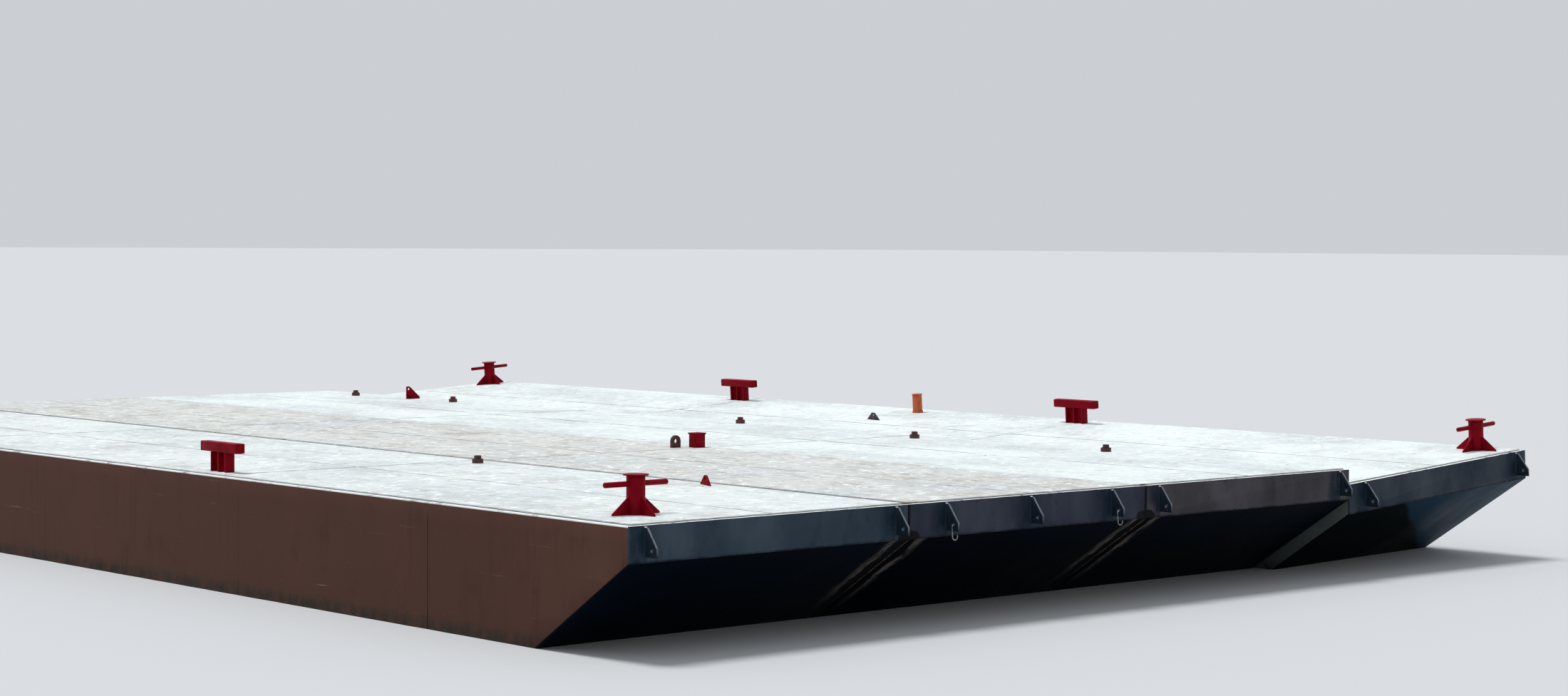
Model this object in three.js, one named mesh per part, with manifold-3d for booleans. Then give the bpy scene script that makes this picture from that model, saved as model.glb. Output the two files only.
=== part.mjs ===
// A sectional flat-deck work barge: four welded steel sections lie side by side.
// Millimetres, +Z up. +X runs across the four sections and +Y along the barge, away from the
// near raked end. Inside a section, x and y start at its near left corner and z = 0 is the top
// edge of its side plating. The last lines put the origin at the middle of the base.

import * as THREE from 'three';
import Module from 'manifold-3d';
import { mergeVertices } from 'three/addons/utils/BufferGeometryUtils.js';

const wasm = await Module();
wasm.setup();

// Driving dimensions
const CONTACT = 0.3;               // clearance kept between faces that touch
const OVERLAP = 1;                 // how far two forms of one piece run into each other
const SECTION_WIDTH = 3048;        // one section, 10 ft
const SECTION_LENGTH = 18288;      // 60 ft
const SECTION_DEPTH = 1829;        // 6 ft from deck edge to bottom plating
const SECTION_COUNT = 4;

const HEADLOG_HEIGHT = 300;
const HEADLOG_PLATE = 20;
const RAKE_ANGLE = 33.1;           // degrees from the horizontal
const RAKE_PLATE = 12;
const DECK_PLATE = 12;
const DECK_INSET = 45;             // bare margin between the deck plate and the plating's edge

const LISTING_SECTION = 4;         // not yet drawn up level: it floats with a list
const LIST_ANGLE = 3.94;           // degrees, its outer side high
const LIST_DROP = 150;             // how far its inner deck edge lies below section 3's

const LUG_PLATE = 20;
const LUG_TOP = 18;                // below the deck edge
const LUG_BOTTOM = 250;
const LUG_REACH_TOP = 30;
const LUG_REACH = 150;
const LUG_EDGE = 72;               // short upright outer edge
const LUG_HOLE_RADIUS = 18;
const LUG_HOLE_Y = 90;             // from the headlog's face
const LUG_HOLE_Z = 190;            // below the deck edge

const POST_HEIGHT = 330;           // corner mooring posts
const POST_RADIUS = 78;
const POST_CAP_RADIUS = 106;
const POST_CAP_PLATE = 12;
const POST_PIN_RADIUS = 23;
const POST_PIN_LENGTH = 650;
const POST_PIN_HEIGHT = 252;
const GUSSET_REACH = 248;          // from the post's centre to the toe
const GUSSET_HEIGHT = 150;
const GUSSET_PLATE = 12;
const GUSSET_TOE = 14;

const BOLLARD_HEIGHT = 282;
const BOLLARD_BAR = { width: 100, length: 650, height: 96 };
const BOLLARD_STEM = { width: 100, length: 270, flange: 16, web: 14 };

const HOOK_ROD = 5.5;              // radius
const HOOK_EYE = 21;               // radius of the upper bend's centre line
const HOOK_BEND = 31;              // radius of the lower bend's centre line
const HOOK_DROP = 78;              // from the upper bend's centre to the lower bend's
const HOOK_SIDE = 14;              // the lower bend's centre lies this far to the right
const HOOK_SLACK = 0.8;            // between the upper bend and the edges of the lug's hole

const ROUND = 32;                  // sides of a large round piece
const SMALL_ROUND = 16;

const rad = THREE.MathUtils.degToRad;
const deckTop = CONTACT + DECK_PLATE;
const seat = deckTop + CONTACT;    // the level that deck fittings stand on
const rakeRun = (SECTION_DEPTH - HEADLOG_HEIGHT) / Math.tan(rad(RAKE_ANGLE));

// Paint and steel
const finish = (color, roughness = 0.6, metalness = 0.1) => ({ color, roughness, metalness });
const PRIMER_BROWN = finish(0x5a3f36);
const HEADLOG_GREY = finish(0x2e3743);
const RAKE_BLACK = finish(0x0a1119);
const DECK_WHITE = finish(0xcfd5d4, 0.75);
const BOLLARD_RED = finish(0x8c061e, 0.4);
const PLUG_STEEL = finish(0x4b3b3d, 0.7, 0.4);
const PIPE_ORANGE = finish(0xb5501f, 0.55);
const GALVANISED = finish(0x9aa0a3, 0.45, 0.8);

// Solids and how they are joined, cut and placed
function toSolid(geometry) {
  const bare = geometry.index ? geometry.clone() : geometry;
  bare.deleteAttribute('normal');
  bare.deleteAttribute('uv');
  const merged = mergeVertices(bare, 0.001);
  return new wasm.Manifold(new wasm.Mesh({
    numProp: 3,
    vertProperties: new Float32Array(merged.attributes.position.array),
    triVerts: new Uint32Array(merged.index.array),
  }));
}

function toGeometry(solid) {
  const mesh = solid.getMesh();
  const geometry = new THREE.BufferGeometry();
  geometry.setAttribute('position', new THREE.BufferAttribute(mesh.vertProperties, 3));
  geometry.setIndex(new THREE.BufferAttribute(mesh.triVerts, 1));
  geometry.computeVertexNormals();
  return geometry;
}

function join(geometries) {
  return toGeometry(geometries.map(toSolid).reduce((a, b) => a.add(b)));
}

function cut(geometry, tools) {
  return toGeometry(tools.map(toSolid).reduce((a, b) => a.subtract(b), toSolid(geometry)));
}

function block(low, high) {
  const size = high.map((value, i) => value - low[i]);
  const middle = high.map((value, i) => (value + low[i]) / 2);
  return new THREE.BoxGeometry(...size).translate(...middle);
}

// An outline drawn in (y, z) and given its thickness along x, starting at x0
function acrossPlate(outline, x0, thickness) {
  const shape = new THREE.Shape(outline.map(([y, z]) => new THREE.Vector2(y, z)));
  const geometry = new THREE.ExtrudeGeometry(shape, { depth: thickness, bevelEnabled: false });
  const turn = new THREE.Matrix4().makeBasis(
    new THREE.Vector3(0, 1, 0), new THREE.Vector3(0, 0, 1), new THREE.Vector3(1, 0, 0));
  return geometry.applyMatrix4(turn).translate(x0, 0, 0);
}

// A round bar lying along x, centred on x0
function crossBar(radius, length, x0, y, z, sides = SMALL_ROUND) {
  return new THREE.CylinderGeometry(radius, radius, length, sides)
    .rotateZ(Math.PI / 2).translate(x0, y, z);
}

function upright(radius, low, high, sides = ROUND) {
  return new THREE.CylinderGeometry(radius, radius, high - low, sides)
    .rotateX(Math.PI / 2).translate(0, 0, (low + high) / 2);
}

function piece(name, geometry, paint, place = [0, 0, 0]) {
  const mesh = new THREE.Mesh(geometry, new THREE.MeshStandardMaterial(paint));
  mesh.name = name;
  mesh.position.set(...place);
  return mesh;
}

// The mirror image of a y from the near end, at the far end
const farEnd = (y) => SECTION_LENGTH - y;

const barge = new THREE.Group();

// Each section lies in a group of its own, so that the listing one turns with all it carries
const sections = [];
for (let number = 1; number <= SECTION_COUNT; number += 1) {
  const section = new THREE.Group();
  section.position.x = (number - 1) * (SECTION_WIDTH + CONTACT);
  if (number === LISTING_SECTION) {
    section.position.z = -LIST_DROP;
    section.rotation.y = -rad(LIST_ANGLE);
  }
  barge.add(section);
  sections.push(section);
}

// Hull: a raked box, set back from the headlogs and rake plating that close its ends
function hullGeometry() {
  const end = HEADLOG_PLATE + CONTACT;
  const skin = (RAKE_PLATE + CONTACT) / Math.sin(rad(RAKE_ANGLE));
  const knuckle = [end, -HEADLOG_HEIGHT - (end - skin) * Math.tan(rad(RAKE_ANGLE))];
  const foot = [skin + rakeRun, -SECTION_DEPTH];
  const outline = [
    [end, 0], knuckle, foot,
    [farEnd(foot[0]), foot[1]], [farEnd(knuckle[0]), knuckle[1]], [farEnd(end), 0],
  ];
  return acrossPlate(outline, 0, SECTION_WIDTH);
}

// Rake plating: a sloping plate from the headlog's lower edge down to the bottom
function rakeGeometry(place) {
  const thickness = RAKE_PLATE / Math.sin(rad(RAKE_ANGLE));
  const top = -HEADLOG_HEIGHT - CONTACT;
  const outline = [
    [0, top], [thickness, top],
    [rakeRun + thickness, -SECTION_DEPTH], [rakeRun, -SECTION_DEPTH],
  ];
  return acrossPlate(outline.map(([y, z]) => [place(y), z]), 0, SECTION_WIDTH);
}

// End lugs: triangular plates welded square on the headlogs, each with one hole
function lugGeometry(x, place) {
  const root = HEADLOG_PLATE / 2;
  const outline = [
    [root, -LUG_TOP], [root, -LUG_BOTTOM], [-LUG_REACH, -LUG_BOTTOM],
    [-LUG_REACH, -LUG_BOTTOM + LUG_EDGE], [-LUG_REACH_TOP, -LUG_TOP],
  ];
  const plate = acrossPlate(outline.map(([y, z]) => [place(y), z]), x - LUG_PLATE / 2, LUG_PLATE);
  const drill = crossBar(LUG_HOLE_RADIUS, LUG_PLATE * 3, x, place(-LUG_HOLE_Y), -LUG_HOLE_Z);
  return cut(plate, [drill]);
}

// Where the lugs stand on each section's headlog, as x from the section's left side
const LUGS = [
  { section: 1, near: [160, 2900], far: [160, 2900] },
  { section: 2, near: [450, 1510, 2580], far: [450, 1510, 2580] },
  { section: 3, near: [190, 2900], far: [190, 2900] },
  { section: 4, near: [270, 2880], far: [270, 2880] },
];

const near = (y) => y;
for (const { section: number, near: nearLugs, far: farLugs } of LUGS) {
  const section = sections[number - 1];
  const name = (what) => `section_${number}_${what}`;
  section.add(piece(name('hull'), hullGeometry(), PRIMER_BROWN));
  for (const { end, place, lugs } of [
    { end: 'near', place: near, lugs: nearLugs },
    { end: 'far', place: farEnd, lugs: farLugs },
  ]) {
    const y = [place(0), place(HEADLOG_PLATE)].sort((a, b) => a - b);
    const plate = block([0, y[0], -HEADLOG_HEIGHT], [SECTION_WIDTH, y[1], 0]);
    const headlog = join([plate, ...lugs.map((x) => lugGeometry(x, place))]);
    section.add(piece(name(`${end}_headlog`), headlog, HEADLOG_GREY));
    section.add(piece(name(`${end}_rake_plate`), rakeGeometry(place), RAKE_BLACK));
  }
  const deck = block([DECK_INSET, DECK_INSET, CONTACT],
    [SECTION_WIDTH - DECK_INSET, SECTION_LENGTH - DECK_INSET, deckTop]);
  section.add(piece(name('deck_plate'), deck, DECK_WHITE));
}

// A flat bar closes the channel over the welded joint of sections 2 and 3
const stripStart = SECTION_WIDTH - DECK_INSET + CONTACT;
const stripEnd = SECTION_WIDTH + DECK_INSET;
sections[1].add(piece('seam_2_3_cover_strip',
  block([stripStart, DECK_INSET, CONTACT], [stripEnd, SECTION_LENGTH - DECK_INSET, deckTop]),
  DECK_WHITE));

// Corner mooring posts: a round post with a cap, four gussets and a cross pin right through it
function postGeometry() {
  const gusset = [
    [0, seat], [GUSSET_REACH, seat], [GUSSET_REACH, seat + GUSSET_TOE],
    [POST_RADIUS, seat + GUSSET_HEIGHT], [0, seat + GUSSET_HEIGHT],
  ];
  const gussets = [0, 90, 180, 270].map((angle) =>
    acrossPlate(gusset, -GUSSET_PLATE / 2, GUSSET_PLATE).rotateZ(rad(angle)));
  const top = seat + POST_HEIGHT;
  const post = upright(POST_RADIUS, seat, top - POST_CAP_PLATE / 2);
  const cap = upright(POST_CAP_RADIUS, top - POST_CAP_PLATE, top);
  const bore = crossBar(POST_PIN_RADIUS + CONTACT, POST_RADIUS * 4, 0, 0, seat + POST_PIN_HEIGHT);
  return cut(join([post, cap, ...gussets]), [bore]);
}

const POSTS = [
  { name: 'near_left', section: 1, x: 580, y: 640 },
  { name: 'near_right', section: 4, x: 2730, y: 390 },
  { name: 'far_left', section: 1, x: 580, y: farEnd(640) },
  { name: 'far_right', section: 4, x: 2660, y: farEnd(300) },
];
for (const { name, section, x, y } of POSTS) {
  sections[section - 1].add(
    piece(`mooring_post_${name}`, postGeometry(), BOLLARD_RED, [x, y, 0]),
    piece(`mooring_post_pin_${name}`,
      crossBar(POST_PIN_RADIUS, POST_PIN_LENGTH, 0, 0, seat + POST_PIN_HEIGHT),
      BOLLARD_RED, [x, y, 0]),
  );
}

// T-head bollards: a box bar on a ribbed H-section stem, two near the edge of each long side
function stemGeometry() {
  const { width, length, flange, web } = BOLLARD_STEM;
  const ribs = [-length / 2, -flange / 2, length / 2 - flange];
  const side = [];
  for (const start of ribs) {
    if (start > -length / 2) side.push([web / 2, start]);
    side.push([width / 2, start], [width / 2, start + flange]);
    if (start < length / 2 - flange) side.push([web / 2, start + flange]);
  }
  const outline = [...side, ...side.map(([x, y]) => [-x, y]).reverse()];
  const shape = new THREE.Shape(outline.map(([x, y]) => new THREE.Vector2(x, y)));
  const height = BOLLARD_HEIGHT - BOLLARD_BAR.height - CONTACT;
  return new THREE.ExtrudeGeometry(shape, { depth: height, bevelEnabled: false })
    .translate(0, 0, seat);
}

const BOLLARDS = [
  { name: 'left_1', section: 1, x: 220, y: 6420 },
  { name: 'left_2', section: 1, x: 220, y: farEnd(6420) },
  { name: 'right_1', section: 4, x: 2718, y: SECTION_LENGTH / 3 },
  { name: 'right_2', section: 4, x: 2718, y: 12300 },
];
for (const { name, section, x, y } of BOLLARDS) {
  const { width, length, height } = BOLLARD_BAR;
  const top = seat + BOLLARD_HEIGHT;
  const bar = block([-width / 2, -length / 2, top - height], [width / 2, length / 2, top]);
  sections[section - 1].add(
    piece(`bollard_stem_${name}`, stemGeometry(), BOLLARD_RED, [x, y, 0]),
    piece(`bollard_head_${name}`, bar, BOLLARD_RED, [x, y, 0]),
  );
}

// Tank plugs: a round collar on the deck with a six-sided plug screwed into it
const PLUG = { collarRadius: 56, collarHeight: 42, headRadius: 36, headHeight: 34 };
function plugGeometry() {
  const collarTop = seat + PLUG.collarHeight;
  const collar = upright(PLUG.collarRadius, seat, collarTop, SMALL_ROUND);
  const head = upright(PLUG.headRadius, collarTop - OVERLAP, collarTop + PLUG.headHeight, 6);
  return join([collar, head]);
}
const PLUGS = [
  { name: 'section_1', section: 1, x: 2745, y: 5800 },
  { name: 'section_3_a', section: 3, x: 2825, y: 3010 },
  { name: 'section_3_b', section: 3, x: 2670, y: 5750 },
  { name: 'section_3_c', section: 3, x: 2840, y: 8940 },
  { name: 'section_3_d', section: 3, x: 2720, y: 14760 },
  { name: 'section_3_e', section: 3, x: 2560, y: 16890 },
];
for (const { name, section, x, y } of PLUGS) {
  sections[section - 1].add(piece(`tank_plug_${name}`, plugGeometry(), PLUG_STEEL, [x, y, 0]));
}

// Pad-eyes: triangular plates on edge with a hole near the top, each turned about the upright
const PAD_EYE = { base: 255, height: 90, top: 46, plate: 20, hole: 17, holeHeight: 60 };
function padEyeGeometry() {
  const { base, height, top, plate, hole, holeHeight } = PAD_EYE;
  const outline = [
    [-base / 2, seat], [base / 2, seat], [top / 2, seat + height], [-top / 2, seat + height],
  ];
  const drill = crossBar(hole, plate * 3, 0, 0, seat + holeHeight);
  return cut(acrossPlate(outline, -plate / 2, plate), [drill]);
}
const PAD_EYES = [
  { name: 'section_1', section: 1, x: 2850, y: 2435, turn: -20 },
  { name: 'section_4', section: 4, x: 1850, y: 8745, turn: -8 },
];
for (const { name, section, x, y, turn } of PAD_EYES) {
  const eye = piece(`pad_eye_${name}`, padEyeGeometry(), BOLLARD_RED, [x, y, 0]);
  eye.rotation.z = rad(turn);
  sections[section - 1].add(eye);
}

// A taller pad-eye, a right-angled plate that stands across the deck of section 3
const TALL_EYE = {
  base: 220, height: 172, top: 50, toe: 24, plate: 20, hole: 17, holeIn: 38, holeDown: 36,
};
function tallEyeGeometry() {
  const { base, height, top, toe, plate, hole, holeIn, holeDown } = TALL_EYE;
  const outline = [
    [0, seat], [base, seat], [base, seat + toe], [top, seat + height], [0, seat + height],
  ];
  const drill = crossBar(hole, plate * 3, 0, holeIn, seat + height - holeDown);
  return cut(acrossPlate(outline, -plate / 2, plate), [drill]).rotateZ(rad(-90));
}
sections[2].add(piece('tall_pad_eye', tallEyeGeometry(), BOLLARD_RED, [2650, 15770, 0]));

// A round ring pad-eye: a disc with a large hole, on a short foot
const RING = { outer: 62, hole: 24, plate: 30, foot: 62, centre: 70 };
function ringEyeGeometry() {
  const disc = new THREE.CylinderGeometry(RING.outer, RING.outer, RING.plate, ROUND)
    .translate(0, 0, seat + RING.centre);
  const foot = block([-RING.foot, -RING.plate / 2, seat], [RING.foot, RING.plate / 2, seat + RING.centre]);
  const drill = new THREE.CylinderGeometry(RING.hole, RING.hole, RING.plate * 3, ROUND)
    .translate(0, 0, seat + RING.centre);
  return cut(join([disc, foot]), [drill]);
}
sections[1].add(piece('ring_pad_eye', ringEyeGeometry(), BOLLARD_RED, [2630, 6260, 0]));

// A short square post with a cap plate beside the ring
const STUB_POST = { side: 124, height: 142, cap: 142, capPlate: 16 };
const stubTop = seat + STUB_POST.height;
const squareBar = (side, low, high) =>
  block([-side / 2, -side / 2, low], [side / 2, side / 2, high]);
sections[1].add(piece('stub_post', join([
  squareBar(STUB_POST.side, seat, stubTop + OVERLAP),
  squareBar(STUB_POST.cap, stubTop, stubTop + STUB_POST.capPlate),
]), BOLLARD_RED, [2840, 6150, 0]));

// The upright standpipe by the far side, with a collar at its foot and a lid
const STANDPIPE = [
  { radius: 68, height: 26 },
  { radius: 61, height: 226 },
  { radius: 66, height: 240 },
];
function standpipeGeometry() {
  const profile = [new THREE.Vector2(0, 0)];
  let level = 0;
  for (const { radius, height } of STANDPIPE) {
    profile.push(new THREE.Vector2(radius, level), new THREE.Vector2(radius, height));
    level = height;
  }
  profile.push(new THREE.Vector2(0, level));
  return new THREE.LatheGeometry(profile, ROUND).rotateX(Math.PI / 2).translate(0, 0, seat);
}
sections[3].add(piece('standpipe', standpipeGeometry(), PIPE_ORANGE, [2700, 8815, 0]));

// Hooks hang in two of section 2's near lugs: each is one bent rod in the plane of x and z. Its
// upper bend straddles the lug through the hole, and its shank runs down the lug's left face.
function hookGeometry() {
  const bend = (cx, cz, radius, from, to, count) => Array.from({ length: count }, (_, i) => {
    const angle = rad(from + (to - from) * i / (count - 1));
    return new THREE.Vector3(cx + radius * Math.cos(angle), 0, cz + radius * Math.sin(angle));
  });
  const route = new THREE.CatmullRomCurve3([
    ...bend(0, 0, HOOK_EYE, -15, 190, 9),
    ...bend(HOOK_SIDE, -HOOK_DROP, HOOK_BEND, 170, 380, 10),
  ]);
  const rim = Array.from({ length: 8 }, (_, i) => new THREE.Vector2(
    HOOK_ROD * Math.cos(i * Math.PI / 4), HOOK_ROD * Math.sin(i * Math.PI / 4)));
  return new THREE.ExtrudeGeometry(new THREE.Shape(rim), { steps: 44, extrudePath: route });
}
const HOOKS = [{ name: 'left', lug: 0 }, { name: 'right', lug: 2 }];
const eyeInside = HOOK_EYE - HOOK_ROD;
const eyeRise = Math.sqrt(eyeInside ** 2 - (LUG_PLATE / 2) ** 2);
const holeFloor = -LUG_HOLE_Z - LUG_HOLE_RADIUS * Math.cos(Math.PI / SMALL_ROUND);
const eyeCentre = holeFloor + HOOK_SLACK - eyeRise;
for (const { name, lug } of HOOKS) {
  const place = [LUGS[1].near[lug], -LUG_HOLE_Y, eyeCentre];
  sections[1].add(piece(`hook_${name}`, hookGeometry(), GALVANISED, place));
}

// Origin at the middle of the base
barge.updateMatrixWorld(true);
const extent = new THREE.Box3().setFromObject(barge, true);
const middle = extent.getCenter(new THREE.Vector3());
barge.position.set(-middle.x, -middle.y, -extent.min.z);
barge.updateMatrixWorld(true);

export default barge;
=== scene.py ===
# The finish of a sectional deck barge: paint, rust and weld metal on four raked steel sections.
# Metres. +X runs across the four sections, +Y along them from the near raked end, +Z up.

import math

import bpy
from mathutils import Matrix, Vector


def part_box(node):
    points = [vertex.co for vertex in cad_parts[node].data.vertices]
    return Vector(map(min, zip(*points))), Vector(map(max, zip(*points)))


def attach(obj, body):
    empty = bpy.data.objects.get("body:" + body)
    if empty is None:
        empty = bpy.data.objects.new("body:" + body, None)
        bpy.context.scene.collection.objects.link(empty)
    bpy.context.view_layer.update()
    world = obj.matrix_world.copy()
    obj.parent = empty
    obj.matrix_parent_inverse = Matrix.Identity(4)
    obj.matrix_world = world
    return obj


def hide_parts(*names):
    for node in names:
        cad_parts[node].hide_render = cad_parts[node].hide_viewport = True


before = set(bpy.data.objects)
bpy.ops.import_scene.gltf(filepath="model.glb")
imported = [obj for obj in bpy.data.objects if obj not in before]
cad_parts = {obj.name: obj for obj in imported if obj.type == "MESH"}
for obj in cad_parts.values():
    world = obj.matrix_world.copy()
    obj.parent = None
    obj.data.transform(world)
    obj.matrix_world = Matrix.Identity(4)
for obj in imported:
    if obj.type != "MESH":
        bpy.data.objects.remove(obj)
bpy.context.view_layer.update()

# Camera
# It stands off the near left corner, a little above the deck, and looks over the deck
# towards the far right with a long lens.
CAMERA_PLACE = (-20.286, -26.654, 4.205)
CAMERA_YAW = 41.95                 # degrees from +Y towards +X
CAMERA_PITCH = 2.12                # degrees downwards
CAMERA_ROLL = 0.32
FRAME_PIXELS = 2200
FOCAL_PIXELS = 4057
SENSOR_WIDTH = 36                  # mm

camera_data = bpy.data.cameras.new("camera")
camera_data.sensor_width = SENSOR_WIDTH
camera_data.lens = FOCAL_PIXELS / FRAME_PIXELS * SENSOR_WIDTH
camera_data.clip_end = 2000
camera = bpy.data.objects.new("camera", camera_data)
bpy.context.scene.collection.objects.link(camera)
camera.matrix_world = (
    Matrix.Translation(CAMERA_PLACE)
    @ Matrix.Rotation(math.radians(-CAMERA_YAW), 4, "Z")
    @ Matrix.Rotation(math.radians(90 - CAMERA_PITCH), 4, "X")
    @ Matrix.Rotation(math.radians(CAMERA_ROLL), 4, "Z")
)
bpy.context.scene.camera = camera
bpy.context.scene.view_settings.view_transform = "Standard"

# Floor and light
# The floor lies at the barge's waterline. A wide soft sun stands high beyond the far left
# corner, so that the near end lies in shade, and an even pale sky fills it.
WATERLINE = 0.887
FLOOR_SIZE = 1600
FLOOR_COLOUR = (0.50, 0.51, 0.52, 1)
FLOOR_ROUGHNESS = 0.9
SKY_COLOUR = (0.80, 0.83, 0.87, 1)
SKY_STRENGTH = 0.75
SUN_STRENGTH = 2.6
SUN_SPREAD = 18                    # degrees
SUN_TILT = (-16, -9)               # degrees about X and Y from straight down

bpy.ops.object.select_all(action="DESELECT")
bpy.ops.mesh.primitive_plane_add(size=FLOOR_SIZE, location=(0, 0, WATERLINE))
floor = bpy.context.object
floor.name = "floor"
floor_paint = bpy.data.materials.new("pale_floor")
floor_paint.use_nodes = True
floor_shader = floor_paint.node_tree.nodes["Principled BSDF"]
floor_shader.inputs["Base Color"].default_value = FLOOR_COLOUR
floor_shader.inputs["Roughness"].default_value = FLOOR_ROUGHNESS
floor.data.materials.append(floor_paint)

world = bpy.data.worlds.new("sky")
world.use_nodes = True
world.node_tree.nodes["Background"].inputs["Color"].default_value = SKY_COLOUR
world.node_tree.nodes["Background"].inputs["Strength"].default_value = SKY_STRENGTH
bpy.context.scene.world = world

sun_data = bpy.data.lights.new("sun", "SUN")
sun_data.energy = SUN_STRENGTH
sun_data.angle = math.radians(SUN_SPREAD)
sun = bpy.data.objects.new("sun", sun_data)
sun.rotation_euler = [math.radians(angle) for angle in (*SUN_TILT, 0)]
bpy.context.scene.collection.objects.link(sun)

# The four sections
# Each is a welded steel box, 10 ft wide and 60 ft long, with a frame of its own: x and y from
# its near left corner, z from its deck edge. The fourth still floats with a list.
SECTIONS = (1, 2, 3, 4)
WIDTH = 3.048
LENGTH = 18.288
PITCH = 3.0483                     # from one section's left side to the next one's
HEADLOG_HEIGHT = 0.300
RAKE_ANGLE = math.radians(33.1)
DECK_INSET = 0.045
DECK_TOP = 0.0123                  # the deck plate's face above the deck edge
LISTING = 4
LIST_ANGLE = math.radians(3.94)
LIST_DROP = 0.150

first_deck_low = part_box("section_1_deck_plate")[0]
left_side = first_deck_low.x - DECK_INSET
near_end = first_deck_low.y - DECK_INSET
deck_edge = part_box("section_1_hull")[1].z


def section_frame(number):
    """Where a section lies, as a matrix from its own frame."""
    place = Matrix.Translation((left_side + (number - 1) * PITCH, near_end, deck_edge))
    if number != LISTING:
        return place
    return (
        Matrix.Translation((0, 0, -LIST_DROP)) @ place @ Matrix.Rotation(-LIST_ANGLE, 4, "Y")
    )


def section_box(node, number):
    """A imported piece's lowest and highest corner in its section's own frame."""
    inverse = section_frame(number).inverted()
    points = [inverse @ vertex.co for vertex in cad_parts[node].data.vertices]
    return (
        Vector([min(point[axis] for point in points) for axis in range(3)]),
        Vector([max(point[axis] for point in points) for axis in range(3)]),
    )


def display(red, green, blue):
    """A colour as it shows on a screen, 0 to 255, in the linear values that a shader takes."""
    def linear(value):
        share = value / 255
        return share / 12.92 if share < 0.04045 else ((share + 0.055) / 1.055) ** 2.4

    return (linear(red), linear(green), linear(blue), 1)


def add(tree, kind, *links, **values):
    """Adds a shader node: links fill its first sockets in order, values its options and sockets."""
    made = tree.nodes.new("ShaderNode" + kind)
    for name, value in values.items():
        if name in made.inputs:
            made.inputs[name].default_value = value
        else:
            setattr(made, name, value)
    for socket, link in zip(made.inputs, links):
        if isinstance(link, bpy.types.NodeSocket):
            tree.links.new(link, socket)
        else:
            socket.default_value = link
    return made.outputs[0]


def own_frame(tree, number):
    """Object coordinates turned and moved into a section's own frame."""
    inverse = section_frame(number).inverted()
    points = tree.nodes.new("ShaderNodeTexCoord").outputs["Object"]
    return add(tree, "Mapping", points, inverse.to_translation(), inverse.to_euler())


def along(tree, points, axis):
    """One coordinate of a point: X, Y or Z."""
    parts = tree.nodes.new("ShaderNodeSeparateXYZ")
    tree.links.new(points, parts.inputs[0])
    return parts.outputs[axis]


def grain(tree, points, stretch, scale, detail=4, rough=0.55, shift=0):
    """A noise pattern: a large number in stretch squeezes it along that axis, and shift moves
    it, so that two finishes with the same pattern don't match."""
    moved = add(tree, "Mapping", points, (shift, shift * 1.7, shift * 0.6), (0, 0, 0), stretch)
    return add(tree, "TexNoise", moved, Scale=scale, Detail=detail, Roughness=rough)


def fade(tree, value, start, end, low=0, high=1):
    """Goes smoothly from low to high as value goes from start to end."""
    return add(tree, "MapRange", value, start, end, low, high, interpolation_type="SMOOTHSTEP")


def times(tree, first, second):
    return add(tree, "Math", first, second, operation="MULTIPLY")


def over(tree, share, under, top):
    """Lays one colour over another where share is 1."""
    return add(tree, "MixRGB", share, under, top)


def new_finish(name, roughness, metal=0.0, shine=0.5):
    """A steel finish with its shader, still bare. Chalky paint reflects less than fresh paint."""
    material = bpy.data.materials.new(name)
    material.use_nodes = True
    shader = material.node_tree.nodes["Principled BSDF"]
    shader.inputs["Specular IOR Level"].default_value = shine
    shader.inputs["Roughness"].default_value = roughness
    shader.inputs["Metallic"].default_value = metal
    return material, material.node_tree, shader


def relief(tree, shader, height, distance, strength=1.0):
    """Raises the surface by a pattern, distance metres at most."""
    bump = tree.nodes.new("ShaderNodeBump")
    bump.inputs["Distance"].default_value = distance
    bump.inputs["Strength"].default_value = strength
    tree.links.new(height, bump.inputs["Height"])
    tree.links.new(bump.outputs["Normal"], shader.inputs["Normal"])


# Hull plating
# Side and bottom shell of each section: 10 mm plate in brown primer, grey on the fourth. It is
# chalky, scraped by fenders, rusted in spots and dark where it is wet, and the margin round
# the deck is pale.
PRIMER = {1: (75, 47, 38), 2: (75, 47, 38), 3: (75, 47, 38), 4: (78, 86, 85)}
PRIMER_PALE = {1: (93, 64, 55), 2: (93, 64, 55), 3: (93, 64, 55), 4: (100, 108, 106)}
SCRAPE = (150, 128, 120)
RUST = (104, 52, 26)
RUST_DARK = (58, 34, 26)
WET = (44, 40, 34)
BURNT = (8, 9, 11)
MARGIN_PALE = (235, 238, 238)
MARGIN_DROP = 0.016                # how far down the side the pale margin runs
SPLASH_REACH = 0.16                # how far above the waterline the plate is wet
JOINED_EDGES = {1: (False, True), 2: (True, True), 3: (True, False), 4: (False, False)}
FRAME_SPACING = 0.6096
PLATE_DISH = 0.006                 # how far old side plate is drawn in between two frames
DISH_LEVELS = (-1.5, -1.15, -0.8, -0.45, -0.15)  # the levels at which it is drawn in
OUTER_SIDES = {1: (0.0, -1), 4: (WIDTH, 1)}  # where the plating lies, and which way is out
SHELL_EDGE = 0.006
MERGE = 0.00002                    # two points this close are made one
CLOSE = 0.001                      # and this close they lie on the same line


def from_joint(tree, points, number):
    """How far a point lies from the nearest edge that is welded to the next section. For each
    section, JOINED_EDGES says whether its left and its right edge is."""
    across = along(tree, points, "X")
    left, right = [0 if joined else WIDTH for joined in JOINED_EDGES[number]]
    from_left = add(tree, "Math", across, left, operation="ADD")
    from_right = add(tree, "Math", WIDTH + right, across, operation="SUBTRACT")
    return add(tree, "Math", from_left, from_right, operation="MINIMUM")


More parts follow.
